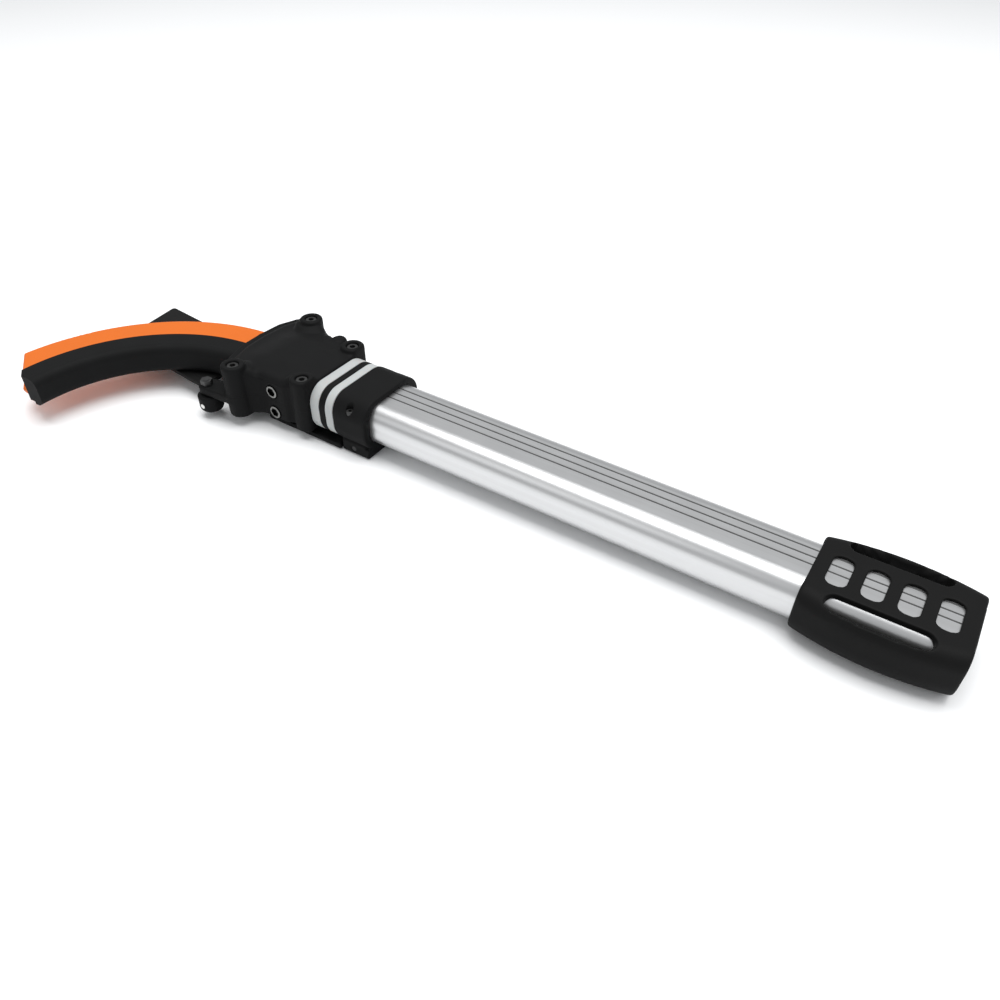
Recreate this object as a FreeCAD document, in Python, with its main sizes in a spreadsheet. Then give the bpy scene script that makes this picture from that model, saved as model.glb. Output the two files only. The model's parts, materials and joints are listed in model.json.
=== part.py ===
import FreeCAD, Part
import math
import os
import Sketcher
from FreeCAD import Placement, Rotation, Vector

# Telescoping pole saw. Every shape is drawn about the pole's own axis: X runs along the pole
# towards the butt, Y across it, Z up, with X = 0 at the collar's rear face. One shift, the
# same for every piece, then puts the origin under the middle of the whole saw.

doc = FreeCAD.newDocument("pole_saw")
dims = doc.addObject("Spreadsheet::Sheet", "dims")
pieces = []


class Size:
    """A number together with the sheet expression that gives it."""

    def __init__(self, number, text):
        self.number = number
        self.text = text

    def __add__(self, other):
        other = size(other)
        return Size(self.number + other.number, f"({self.text} + {other.text})")

    def __sub__(self, other):
        other = size(other)
        return Size(self.number - other.number, f"({self.text} - {other.text})")

    def __mul__(self, other):
        other = size(other)
        return Size(self.number * other.number, f"({self.text} * {other.text})")

    def __truediv__(self, other):
        other = size(other)
        return Size(self.number / other.number, f"({self.text} / {other.text})")

    def __radd__(self, other):
        return size(other) + self

    def __rsub__(self, other):
        return size(other) - self

    def __rmul__(self, other):
        return size(other) * self

    def __neg__(self):
        return Size(-self.number, f"(-{self.text})")


def size(value):
    if isinstance(value, Size):
        return value
    return Size(value, f"({value})")


def cells(start_row, values):
    """Writes aliased cells and returns them as Sizes, in order."""
    made = []
    for row, (alias, value) in enumerate(values.items(), start_row):
        dims.set(f"A{row}", alias)
        dims.set(f"B{row}", str(value))
        dims.setAlias(f"B{row}", alias)
        made.append(Size(value, f"dims.{alias}"))
    return made


# Driving dimensions, in millimetres and degrees.
shift_x, shift_y, shift_z = cells(1, {"shift_x": -57.95, "shift_y": 38.25, "shift_z": 24.5})
pole_wide, pole_high, pole_corner, wall, gap, groove, groove_pitch = cells(
    5,
    {
        "pole_wide": 50.0,
        "pole_high": 31.0,
        "pole_corner": 12.0,
        "wall": 1.2,
        "tube_gap": 1.0,
        "groove_wide": 1.2,
        "groove_pitch": 6.4,
    },
)
collar_wide, collar_high, collar_corner, collar_long, lip, ring_inset, play = cells(
    15,
    {
        "collar_wide": 62.0,
        "collar_high": 39.0,
        "collar_corner": 15.0,
        "collar_long": 29.0,
        "lip_long": 6.0,
        "ring_inset": 0.5,
        "play": 0.1,
    },
)
ring_gap, ring_long_2, ring_long_3, ring_long_4, ring_lip = cells(
    25,
    {"ring_gap": 0.2, "ring_long_2": 7.0, "ring_long_3": 5.4, "ring_long_4": 8.2, "ring_lip": 2.6},
)
travel, tube_rear, rear_step, shoe_long, tube_end = cells(
    35,
    {"travel": 310.0, "tube_rear": 348.0, "rear_step": 5.0, "shoe_long": 12.0, "tube_end": 386.0},
)
grip_start, grip_end, grip_half, grip_belly, grip_top, grip_bottom, window_wide, window_pitch = cells(
    45,
    {
        "grip_start": 301.0,
        "grip_end": 389.0,
        "grip_half": 29.5,
        "grip_belly": 35.5,
        "grip_top": 17.5,
        "grip_bottom": 18.5,
        "window_wide": 11.5,
        "window_pitch": 19.3,
    },
)
pivot_x, pivot_z, pin_radius, cam_offset, cam_radius, cam_phase, lever_thick, lever_end = cells(
    55,
    {
        "pivot_x": -14.0,
        "pivot_z": -20.0,
        "pin_radius": 2.0,
        "cam_offset": 1.2,
        "cam_radius": 4.28,
        "cam_phase": 40.0,
        "lever_thick": 4.0,
        "lever_end": -108.0,
    },
)
head_front, head_top, head_bottom, boss_radius, boss_top, boss_bottom = cells(
    65,
    {
        "head_front": -141.0,
        "head_top": 20.5,
        "head_bottom": 17.0,
        "boss_radius": 9.0,
        "boss_top": 23.9,
        "boss_bottom": 18.2,
    },
)
front_x, front_y, rear_x, rear_y, bolt_radius, cap_radius = cells(
    75,
    {
        "front_boss_x": -112.0,
        "front_boss_y": 41.3,
        "rear_boss_x": -57.6,
        "rear_boss_y": 27.4,
        "bolt_radius": 2.5,
        "cap_radius": 4.25,
    },
)
arc_x, arc_y, blade_thick, blade_half, blade_sweep, tang_half, tang_end = cells(
    85,
    {
        "arc_x": -130.0,
        "arc_y": -120.5,
        "blade_thick": 1.4,
        "blade_half": 15.0,
        "blade_sweep": 79.0,
        "tang_half": 12.0,
        "tang_end": -70.0,
    },
)
sheath_out, sheath_mid, sheath_in, sheath_half, sheath_wall, sheath_start, sheath_sweep = cells(
    95,
    {
        "sheath_out": 142.2,
        "sheath_mid": 120.5,
        "sheath_in": 99.5,
        "sheath_half": 11.4,
        "sheath_wall": 2.4,
        "sheath_start": 92.5,
        "sheath_sweep": 86.5,
    },
)
knob_x, knob_y, knob_radius, knob_top, knob_high = cells(
    105,
    {"knob_x": -139.0, "knob_y": -47.0, "knob_radius": 9.0, "knob_top": -8.0, "knob_high": 14.0},
)
doc.recompute()

HALF_WIDE = collar_wide / 2
HALF_HIGH = collar_high / 2
BLADE_MID = -arc_y
EPS = 0.05

PLANES = {
    "XY_Plane": ("z", 1, Rotation()),
    "XZ_Plane": ("y", -1, Rotation(Vector(1, 0, 0), 90)),
    "YZ_Plane": ("x", 1, Rotation(Vector(1, 1, 1), 120)),
}


def bind(item, name, value):
    item.setExpression(name, size(value).text)


def move(item, x=0, y=0, z=0):
    for axis, value in zip("xyz", (x, y, z)):
        bind(item, f"Placement.Base.{axis}", value)


def finish(item, label):
    """Names a finished piece and moves it into the saw's frame."""
    item.Label = label
    move(item, shift_x, shift_y, shift_z)
    pieces.append(item)
    return item


# Sketch outlines.


def limit(sketch, kind, index, point, value):
    where = sketch.addConstraint(Sketcher.Constraint(kind, -1, 1, index, point, size(value).number))
    sketch.setExpression(f"Constraints[{where}]", size(value).text)


def radius(sketch, index, value):
    where = sketch.addConstraint(Sketcher.Constraint("Radius", index, size(value).number))
    sketch.setExpression(f"Constraints[{where}]", size(value).text)


def disc(sketch, u, v, r):
    u, v, r = size(u), size(v), size(r)
    index = sketch.addGeometry(Part.Circle(Vector(u.number, v.number, 0), Vector(0, 0, 1), r.number))
    limit(sketch, "DistanceX", index, 3, u)
    limit(sketch, "DistanceY", index, 3, v)
    radius(sketch, index, r)


def rounded(sketch, left, right, low, high, corner):
    """A rectangle with round corners between four lines of the sketch."""
    left, right, low, high, corner = (size(v) for v in (left, right, low, high, corner))
    x0, x1, y0, y1, r = (v.number for v in (left, right, low, high, corner))
    runs = [
        ((x0 + r, y0), (x1 - r, y0)),
        ((x1, y0 + r), (x1, y1 - r)),
        ((x1 - r, y1), (x0 + r, y1)),
        ((x0, y1 - r), (x0, y0 + r)),
    ]
    centres = [(x1 - r, y0 + r), (x1 - r, y1 - r), (x0 + r, y1 - r), (x0 + r, y0 + r)]
    lines = [sketch.addGeometry(Part.LineSegment(Vector(*a, 0), Vector(*b, 0))) for a, b in runs]
    arcs = []
    for turn, (cx, cy) in enumerate(centres):
        circle = Part.Circle(Vector(cx, cy, 0), Vector(0, 0, 1), r)
        start = math.radians(270 + 90 * turn)
        arcs.append(sketch.addGeometry(Part.ArcOfCircle(circle, start, start + math.pi / 2)))
    for turn in range(4):
        sketch.addConstraint(Sketcher.Constraint("Tangent", lines[turn], 2, arcs[turn], 1))
        sketch.addConstraint(Sketcher.Constraint("Tangent", arcs[turn], 2, lines[(turn + 1) % 4], 1))
    for line, kind in zip(lines, ("Horizontal", "Vertical", "Horizontal", "Vertical")):
        sketch.addConstraint(Sketcher.Constraint(kind, line))
    for arc in arcs[1:]:
        sketch.addConstraint(Sketcher.Constraint("Equal", arcs[0], arc))
    radius(sketch, arcs[0], corner)
    limit(sketch, "DistanceY", lines[0], 1, low)
    limit(sketch, "DistanceX", lines[1], 1, right)
    limit(sketch, "DistanceY", lines[2], 1, high)
    limit(sketch, "DistanceX", lines[3], 1, left)


def centred(sketch, wide, high, corner):
    """A rounded rectangle about the pole's axis."""
    rounded(sketch, -(wide / 2), wide / 2, -(high / 2), high / 2, corner)


def polygon(sketch, points):
    points = [(size(x), size(y)) for x, y in points]
    corners = [Vector(x.number, y.number, 0) for x, y in points]
    ends = corners[1:] + corners[:1]
    lines = [sketch.addGeometry(Part.LineSegment(a, b)) for a, b in zip(corners, ends)]
    for line, following in zip(lines, lines[1:] + lines[:1]):
        sketch.addConstraint(Sketcher.Constraint("Coincident", line, 2, following, 1))
    for line, (x, y) in zip(lines, points):
        limit(sketch, "DistanceX", line, 1, x)
        limit(sketch, "DistanceY", line, 1, y)


# PartDesign bodies. Pads and pockets all run in the positive direction from their start.


def new_body(name):
    return doc.addObject("PartDesign::Body", name)


def body_sketch(body, role, start):
    sketch = body.newObject("Sketcher::SketchObject", body.Name + "_sketch")
    plane = next(item for item in body.Origin.OriginFeatures if item.Role == role)
    sketch.AttachmentSupport = [(plane, "")]
    sketch.MapMode = "FlatFace"
    bind(sketch, "AttachmentOffset.Base.z", start if PLANES[role][1] > 0 else -size(start))
    return sketch


def pad(body, role, start, length, draw, *args):
    sketch = body_sketch(body, role, start)
    draw(sketch, *args)
    feature = body.newObject("PartDesign::Pad", body.Name + "_pad")
    feature.Profile = sketch
    feature.Reversed = PLANES[role][1] < 0
    bind(feature, "Length", length)
    doc.recompute()
    return feature


def pocket(body, role, start, length, draw, *args):
    before = body.Shape.Volume
    sketch = body_sketch(body, role, start)
    draw(sketch, *args)
    feature = body.newObject("PartDesign::Pocket", body.Name + "_pocket")
    feature.Profile = sketch
    feature.Reversed = PLANES[role][1] > 0
    bind(feature, "Length", length)
    doc.recompute()
    if body.Shape.Volume >= before - 1e-6:
        raise ValueError(f"{feature.Name} cuts nothing")
    return feature


def revolve(body, sweep, draw, *args):
    """Turns a section in the XZ plane about the body's own Z axis."""
    sketch = body_sketch(body, "XZ_Plane", 0)
    draw(sketch, *args)
    feature = body.newObject("PartDesign::Revolution", body.Name + "_sweep")
    feature.Profile = sketch
    feature.ReferenceAxis = (sketch, ["V_Axis"])
    bind(feature, "Angle", sweep)
    doc.recompute()
    return feature


def round_edges(body, value, test):
    """Rounds the edges of the body that pass a test."""
    base = body.Tip
    names = [f"Edge{n}" for n, edge in enumerate(base.Shape.Edges, 1) if test(edge)]
    if not names:
        raise ValueError(f"{body.Name} has no such edge")
    feature = body.newObject("PartDesign::Fillet", body.Name + "_round")
    feature.Base = (base, names)
    bind(feature, "Radius", value)
    doc.recompute()
    if feature.Shape.isNull():
        raise ValueError(f"{feature.Name} failed")
    return feature


# Part primitives, extrusions and booleans.


def box(name, x, y, z):
    """A block between two X, two Y and two Z values."""
    item = doc.addObject("Part::Box", name)
    for side, (low, high) in zip(("Length", "Width", "Height"), (x, y, z)):
        bind(item, side, size(high) - low)
    move(item, x[0], y[0], z[0])
    return item


def rod(name, axis, at, start, end, r):
    """A round bar along an axis, through a point given by the other two coordinates."""
    item = doc.addObject("Part::Cylinder", name)
    bind(item, "Radius", r)
    bind(item, "Height", size(end) - start)
    if axis == "x":
        item.Placement.Rotation = Rotation(Vector(0, 1, 0), 90)
        move(item, start, at[0], at[1])
    elif axis == "y":
        item.Placement.Rotation = Rotation(Vector(1, 0, 0), -90)
        move(item, at[0], start, at[1])
    else:
        move(item, at[0], at[1], start)
    return item


def bar(name, role, start, length, draw, *args):
    """A straight bar whose section is a sketch."""
    axis, sign, turn = PLANES[role]
    sketch = doc.addObject("Sketcher::SketchObject", name + "_sketch")
    sketch.Placement.Rotation = turn
    bind(sketch, f"Placement.Base.{axis}", start)
    draw(sketch, *args)
    item = doc.addObject("Part::Extrusion", name)
    item.Base = sketch
    item.DirMode = "Custom"
    item.Dir = Vector(*(1.0 if axis == letter else 0.0 for letter in "xyz"))
    item.Solid = True
    bind(item, "LengthFwd", length)
    return item


def fuse(name, *items):
    item = doc.addObject("Part::MultiFuse", name)
    item.Shapes = list(items)
    item.Refine = True
    doc.recompute()
    return item


def cut(name, base, *tools):
    item = doc.addObject("Part::Cut", name)
    item.Base = base
    item.Tool = tools[0] if len(tools) == 1 else fuse(name + "_tools", *tools)
    item.Refine = True
    doc.recompute()
    return item


def common(name, base, tool):
    item = doc.addObject("Part::Common", name)
    item.Base = base
    item.Tool = tool
    doc.recompute()
    return item


def group(name, items):
    item = doc.addObject("Part::Compound", name)
    item.Links = list(items)
    doc.recompute()
    return item


def soften(name, base, value, test):
    """Rounds the edges of a Part object that pass a test."""
    doc.recompute()
    chosen = [n for n, edge in enumerate(base.Shape.Edges, 1) if test(edge)]
    if not chosen:
        raise ValueError(f"{name} has no such edge")
    item = doc.addObject("Part::Fillet", name)
    item.Base = base
    item.Edges = [(n, size(value).number, size(value).number) for n in chosen]
    doc.recompute()
    return item


def flat_at(edge, axis, value):
    """True for an edge that lies wholly in the plane axis = value."""
    bounds = edge.BoundBox
    low = getattr(bounds, axis.upper() + "Min")
    high = getattr(bounds, axis.upper() + "Max")
    return abs(low - value) < 0.02 and abs(high - value) < 0.02


def upright(edge):
    """True for a straight edge along Z."""
    return edge.Curve.TypeId == "Part::GeomLine" and abs(edge.tangentAt(edge.FirstParameter).z) > 0.99


# The pole: an outer tube and four stages that slide out of it.


def tube_size(stage):
    """Outer width, height and corner radius of a tube, counted from 0 at the outermost."""
    inset = stage * (wall + gap)
    return pole_wide - 2 * inset, pole_high - 2 * inset, pole_corner - inset


def bore_size(stage):
    wide, high, corner = tube_size(stage)
    return wide - 2 * wall, high - 2 * wall, corner - wall


RING_2 = -(collar_long + ring_gap)
RING_3 = RING_2 - ring_long_2 - ring_gap
RING_4 = RING_3 - ring_long_3 - ring_gap
HEAD_REAR = RING_4 - ring_long_4 - ring_gap
RINGS = {2: (RING_2, ring_long_2), 3: (RING_3, ring_long_3), 4: (RING_4, ring_long_4)}
LOCK_Z = size(-3.0)
LOCK_TIP = size(1.2)
LOCK_BORE = size(1.9)
HEAD_TUBE_FRONT = size(-104.0)


def ring_faces(stage):
    """Rear and front faces of a stage's ring, and the end of the tube in it."""
    rear, length = RINGS[stage]
    return rear, rear - length, rear - length + ring_lip


def lock_x(stage):
    rear, front, socket = ring_faces(stage)
    return (rear + front) / 2


def draw_tube(sketch, stage):
    centred(sketch, *tube_size(stage))
    centred(sketch, *bore_size(stage))


def draw_grooves(sketch):
    """Narrow slits that leave shallow lines along the top and bottom of the pole."""
    depth = size(0.45)
    for side in (1, -1):
        for count in (-1, 0, 1):
            middle = 4 + count * groove_pitch
            face = side * pole_high / 2
            rounded(sketch, middle - groove / 2, middle + groove / 2, face - depth, face + depth, 0.2)


def make_outer_tube():
    body = new_body("outer_tube_body")
    start = -collar_long + lip
    pad(body, "YZ_Plane", start, tube_end - start, draw_tube, 0)
    pocket(body, "YZ_Plane", start - 1, tube_end - start + 2, draw_grooves)
    window = pole_high / 2
    pocket(
        body, "XY_Plane", -window - 1, wall + 2, rounded, pivot_x - 7, pivot_x + 7, -12, 12, 1.0,
    )
    pocket(body, "XZ_Plane", -30, 60, disc, tube_end - 8, 0, pin_radius)
    finish(body, "outer_tube")


def make_stage_tube(stage):
    """A sliding tube. Holes on its far side take the lock pins of its own ring and the next."""
    body = new_body(f"tube_{stage}_body")
    front = HEAD_TUBE_FRONT if stage == 5 else ring_faces(stage)[2]
    rear = tube_rear - (stage - 2) * rear_step
    pad(body, "YZ_Plane", front, rear - front, draw_tube, stage - 1)
    if stage < 5:
        pocket(body, "XZ_Plane", 0, pole_wide, disc, lock_x(stage), LOCK_Z, LOCK_BORE)
    if stage > 2:
        for x in (lock_x(stage - 1), lock_x(stage - 1) + travel):
            pocket(body, "XZ_Plane", 0, pole_wide, disc, x, LOCK_Z, LOCK_TIP + play)
    if stage == 5:
        for x in CLAMP_X:
            pocket(body, "XY_Plane", -pole_high, 2 * pole_high, disc, x, 0, bolt_radius)
    finish(body, "head_tube" if stage == 5 else f"stage_{stage}_tube")


def make_shoe(stage):
    """A plastic sleeve on a tube's rear end that runs in the bore of the tube outside it."""
    body = new_body(f"shoe_{stage}_body")
    rear = tube_rear - (stage - 2) * rear_step - 2

    def draw(sketch):
        wide, high, corner = bore_size(stage - 2)
        centred(sketch, wide - 2 * play, high - 2 * play, corner - play)
        centred(sketch, *tube_size(stage - 1))

    pad(body, "YZ_Plane", rear - shoe_long, shoe_long, draw)
    finish(body, f"rear_shoe_{stage}")


def make_ring(stage):
    """The collar on a stage's front end. Its lip guides the next tube."""
    name = f"ring_{stage}"
    rear, front, socket = ring_faces(stage)
    wide, high, corner = tube_size(stage)
    blank = bar(
        name + "_blank", "YZ_Plane", front, rear - front, centred,
        collar_wide - 2 * ring_inset, collar_high - 2 * ring_inset, collar_corner - ring_inset,
    )
    smooth = soften(
        name + "_smooth", blank, 0.7,
        lambda edge: flat_at(edge, "x", rear.number) or flat_at(edge, "x", front.number),
    )
    pocket_bar = bar(
        name + "_socket", "YZ_Plane", socket, rear - socket + 1, centred, *tube_size(stage - 1),
    )
    lip_bar = bar(
        name + "_lip", "YZ_Plane", front - 1, rear - front + 2, centred,
        wide + 2 * play, high + 2 * play, corner + play,
    )
    chamber = rod(name + "_chamber", "y", (lock_x(stage), LOCK_Z), 0, HALF_WIDE - 2, LOCK_BORE)
    stem = rod(name + "_stem", "y", (lock_x(stage), LOCK_Z), 0, HALF_WIDE + 1, 1.0 + play)
    finish(cut(name, smooth, pocket_bar, lip_bar, chamber, stem), f"stage_{stage}_ring")


def make_lock_pin(stage):
    """A spring pin in the ring's far side, drawn out clear of the next tube."""
    name = f"lock_{stage}"
    at = (lock_x(stage), LOCK_Z)
    inner = tube_size(stage)[0] / 2 + 0.3
    shoulder = tube_size(stage - 1)[0] / 2 + 1
    head = HALF_WIDE + 2.2
    tip = rod(name + "_tip", "y", at, inner, shoulder + 1.5, LOCK_TIP)
    flange = rod(name + "_flange", "y", at, shoulder, shoulder + 1.5, LOCK_BORE - 0.15)
    stem = rod(name + "_stem_bar", "y", at, shoulder + 1, head + 0.5, 1.0)
    button = rod(name + "_button", "y", at, head, head + 1.8, 2.3)
    button = soften(name + "_button_edge", button, 0.5, lambda edge: flat_at(edge, "y", head.number + 1.8))
    finish(fuse(name, tip, flange, stem, button), f"lock_pin_{stage}")


def make_lock_spring(stage):
    """A coil between the pin's flange and the outer wall of the ring."""
    start = tube_size(stage - 1)[0] / 2 + 1 + 1.5 + 0.3
    end = HALF_WIDE - 2 - 0.3
    turns = 4
    wire = 0.2
    coil = doc.addObject("Part::Helix", f"coil_{stage}")
    bind(coil, "Pitch", (end - start) / turns)
    bind(coil, "Height", end - start)
    bind(coil, "Radius", LOCK_BORE - 0.45)
    section = doc.addObject("Part::RegularPolygon", f"coil_{stage}_wire")
    section.Polygon = 8
    section.Circumradius = wire
    section.Placement = Placement(Vector(LOCK_BORE.number - 0.45, 0, 0), Rotation(Vector(1, 0, 0), 90))
    sweep = doc.addObject("Part::Sweep", f"coil_{stage}_sweep")
    sweep.Sections = [section]
    sweep.Spine = (coil, ["Edge1"])
    sweep.Solid = True
    sweep.Frenet = True
    doc.recompute()
    sweep.Placement.Rotation = Rotation(Vector(1, 0, 0), -90)
    move(sweep, lock_x(stage), start, LOCK_Z)
    finish(group(f"spring_{stage}", [sweep]), f"lock_spring_{stage}")


# The collar on the outer tube, with the cam lever and the brake pad under it.

SCREW_X = size(-14.5)
SCREW_Y = size(27.2)
CHEEK_IN = size(14.2)
CHEEK_OUT = size(29.0)
LOBE_BOTTOM = -shift_z


def collar_blank(name, half):
    blank = bar(
        name + "_blank", "YZ_Plane", -collar_long, collar_long, centred,
        collar_wide, collar_high, collar_corner,
    )
    ends = (-collar_long.number, 0.0)
    smooth = soften(
        name + "_smooth", blank, 1.2, lambda edge: any(flat_at(edge, "x", end) for end in ends)
    )
    keep = box(name + "_keep", (-collar_long, 0), (-HALF_WIDE, HALF_WIDE), half)
    return common(name + "_half", smooth, keep)


def collar_bores(name):
    wide, high, corner = tube_size(1)
    tube = bar(
        name + "_bore", "YZ_Plane", -collar_long + lip, collar_long, centred, *tube_size(0),
    )
    nose = bar(
        name + "_nose", "YZ_Plane", -collar_long - 1, collar_long, centred,
        wide + 2 * play, high + 2 * play, corner + play,
    )
    return [tube, nose]


def make_collar():
    tools = collar_bores("collar_top")
    for side in (1, -1):
        at = (SCREW_X, side * SCREW_Y)
        tools.append(rod(f"collar_sink_{side + 1}", "z", at, 9, HALF_HIGH, 2.8))
        tools.append(rod(f"collar_shank_{side + 1}", "z", at, -1, 10, 1.5))
    upper = collar_blank("collar_top", (0, HALF_HIGH))
    finish(cut("collar_upper", upper, *tools), "collar_upper")

    low = collar_blank("collar_low", (-HALF_HIGH, 0))
    cheeks = [
        box(
            f"cheek_{side + 1}", (pivot_x - 10, pivot_x + 11),
            sorted((side * CHEEK_IN, side * CHEEK_OUT), key=lambda v: v.number),
            (LOBE_BOTTOM, -(HALF_HIGH - 5)),
        )
        for side in (1, -1)
    ]
    bridge = box(
        "lobe_bridge", (pivot_x + 8, pivot_x + 14), (-CHEEK_OUT, CHEEK_OUT), (LOBE_BOTTOM, -(HALF_HIGH - 3))
    )
    lower = fuse("collar_low_whole", low, *cheeks, bridge)
    lower = soften(
        "collar_low_soft", lower, 2.0,
        lambda edge: flat_at(edge, "z", LOBE_BOTTOM.number)
        and (
            any(flat_at(edge, "y", side * CHEEK_OUT.number) for side in (1, -1))
            or flat_at(edge, "x", pivot_x.number + 14)
        ),
    )
    tools = collar_bores("collar_low")
    tools.append(
        box("lobe_window", (pivot_x - 8, pivot_x + 8), (-CHEEK_IN, CHEEK_IN), (LOBE_BOTTOM, -HALF_HIGH + 8))
    )
    tools.append(rod("lobe_pin_hole", "y", (pivot_x, pivot_z), -HALF_WIDE, HALF_WIDE, pin_radius))
    for side in (1, -1):
        tools.append(rod(f"collar_tap_{side + 1}", "z", (SCREW_X, side * SCREW_Y), -9, 1, 1.5))
    finish(cut("collar_lower", lower, *tools), "collar_lower")

    pin = rod("pin_bar", "y", (pivot_x, pivot_z), -CHEEK_OUT + 0.5, CHEEK_OUT - 0.5, pin_radius)
    pin = soften("pin_ends", pin, 0.4, lambda edge: edge.Closed)
    finish(group("lever_pin", [pin]), "lever_pin")


def socket_screw(name, axis, at, under_head, head_high, head_radius, shank, shank_end, key):
    """A cap screw along an axis. Its head starts at under_head, and its shank ends at shank_end."""
    under_head, head_high = size(under_head), size(head_high)
    outward = 1 if under_head.number > size(shank_end).number else -1
    face = under_head + outward * head_high
    low, high = sorted((under_head, face), key=lambda v: v.number)
    head = rod(name + "_cap", axis, at, low, high, head_radius)
    head = soften(name + "_cap_edge", head, 0.4, lambda edge: flat_at(edge, axis, face.number))
    low, high = sorted((size(shank_end), under_head + outward * 0.5), key=lambda v: v.number)
    stem = rod(name + "_stem", axis, at, low, high, shank)
    whole = fuse(name + "_whole", head, stem)
    drive = doc.addObject("Part::Prism", name + "_key")
    drive.Polygon = 6
    bind(drive, "Circumradius", key)
    bind(drive, "Height", head_high)
    start = face - outward * head_high * 0.6
    low = start if outward > 0 else start - head_high
    if axis == "y":
        drive.Placement.Rotation = Rotation(Vector(1, 0, 0), -90)
        move(drive, at[0], low, at[1])
    else:
        move(drive, at[0], at[1], low)
    return cut(name, whole, drive)


def make_collar_screws():
    screws = [
        socket_screw(
            f"collar_screw_{side + 1}", "z", (SCREW_X, side * SCREW_Y), 9, 3.0, 2.7, 1.5, -8.5, 1.45
        )
        for side in (1, -1)
    ]
    finish(group("collar_screws", screws), "collar_screws")


def make_lever():
    """The cam lever: knuckle and eccentric about the pin, and a long thumb plate."""
    body = new_body("lock_lever_body")
    low = LOBE_BOTTOM + 0.2
    half, waist, shoulder = size(30.0), size(21.0), size(-98.0)
    front = pivot_x - 12
    outline = [
        (lever_end, -waist), (shoulder, -waist), (shoulder, -half), (front, -half), (front, -13.6),
        (pivot_x, -13.6), (pivot_x, 13.6), (front, 13.6), (front, half), (shoulder, half),
        (shoulder, waist), (lever_end, waist),
    ]
    pad(body, "XY_Plane", low, lever_thick, polygon, outline)
    corners = (lever_end.number, shoulder.number, front.number)
    round_edges(
        body, 3.0,
        lambda edge: upright(edge)
        and edge.BoundBox.XMin < front.number - 0.1
        and min(abs(edge.BoundBox.XMin - x) for x in corners) < 0.1,
    )
    round_edges(body, 0.8, lambda edge: flat_at(edge, "z", low.number) and edge.BoundBox.XMax < -27)
    pad(body, "XZ_Plane", -13.6, 27.2, disc, pivot_x, pivot_z, 4.1)
    phase = math.radians(cam_phase.number)
    cam_x = pivot_x - cam_offset * round(math.sin(phase), 5)
    cam_z = pivot_z + cam_offset * round(math.cos(phase), 5)
    pad(body, "XZ_Plane", -11, 22, disc, cam_x, cam_z, cam_radius)
    pocket(body, "XZ_Plane", -40, 80, disc, pivot_x, pivot_z, pin_radius + EPS)
    for count in range(5):
        x = lever_end + 6 + 4.5 * count
        pocket(body, "XY_Plane", low - 0.1, 0.9, rounded, x - 0.9, x + 0.9, -waist + 3, waist - 3, 0.8)
    finish(body, "lock_lever")


def make_brake_pad():
    top = -tube_size(1)[1] / 2 - EPS
    cam_top = pivot_z + cam_offset * round(math.cos(math.radians(cam_phase.number)), 5) + cam_radius
    low = cam_top + play
    plate = box("pad_plate", (pivot_x - 6.5, pivot_x + 6.5), (-11.5, 11.5), (low, top))
    plate = soften("brake_pad", plate, 0.8, upright)
    finish(plate, "brake_pad")


# The rubber grip and the butt.


def draw_grip(sketch):
    """Barrel outline seen from above: two straight ends and two bowed sides."""
    belly = grip_belly.number
    half = grip_half.number
    x0, x1 = grip_start.number, grip_end.number
    middle = (x0 + x1) / 2
    near = sketch.addGeometry(
        Part.Arc(Vector(x0, -half, 0), Vector(middle, -belly, 0), Vector(x1, -half, 0))
    )
    rear = sketch.addGeometry(Part.LineSegment(Vector(x1, -half, 0), Vector(x1, half, 0)))
    far = sketch.addGeometry(Part.Arc(Vector(x1, half, 0), Vector(middle, belly, 0), Vector(x0, half, 0)))
    front = sketch.addGeometry(Part.LineSegment(Vector(x0, half, 0), Vector(x0, -half, 0)))
    joints = [(near, 2, rear, 1), (rear, 2, far, 1), (far, 2, front, 1), (front, 2, near, 1)]
    for first, end, second, start in joints:
        sketch.addConstraint(Sketcher.Constraint("Coincident", first, end, second, start))
    for line, x in ((rear, grip_end), (front, grip_start)):
        for point in (1, 2):
            limit(sketch, "DistanceX", line, point, x)
    corners = ((rear, 1, -grip_half), (rear, 2, grip_half), (front, 1, grip_half), (front, 2, -grip_half))
    for line, point, y in corners:
        limit(sketch, "DistanceY", line, point, y)
    chord = (grip_end - grip_start) / 2
    rise = grip_belly - grip_half
    bow = (chord * chord + rise * rise) / (2 * rise)
    radius(sketch, near, bow)
    radius(sketch, far, bow)


def draw_side_slot(sketch, side):
    """Long eye beside the pole: straight towards the pole, bowed outwards, drawn anticlockwise."""
    ends = [grip_start.number + 14, grip_start.number + 70]
    start, stop = ends[::side]
    inner, outer, tip, bulge = 19.5 * side, 40.0 * side, 30.0 * side, 24.0 * side
    middle = sum(ends) / 2
    line = sketch.addGeometry(
        Part.LineSegment(Vector(start + 6 * side, inner, 0), Vector(stop - 6 * side, inner, 0))
    )
    rear_tip, front_tip = Vector(stop - 2 * side, tip, 0), Vector(start + 2 * side, tip, 0)
    second = sketch.addGeometry(
        Part.Arc(Vector(stop - 6 * side, inner, 0), Vector(stop, bulge, 0), rear_tip)
    )
    bow = sketch.addGeometry(Part.Arc(rear_tip, Vector(middle, outer, 0), front_tip))
    first = sketch.addGeometry(
        Part.Arc(front_tip, Vector(start, bulge, 0), Vector(start + 6 * side, inner, 0))
    )
    ring = [line, second, bow, first]
    for first, second in zip(ring, ring[1:] + ring[:1]):
        sketch.addConstraint(Sketcher.Constraint("Coincident", first, 2, second, 1))
    for part in ring:
        sketch.addConstraint(Sketcher.Constraint("Block", part))


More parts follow.
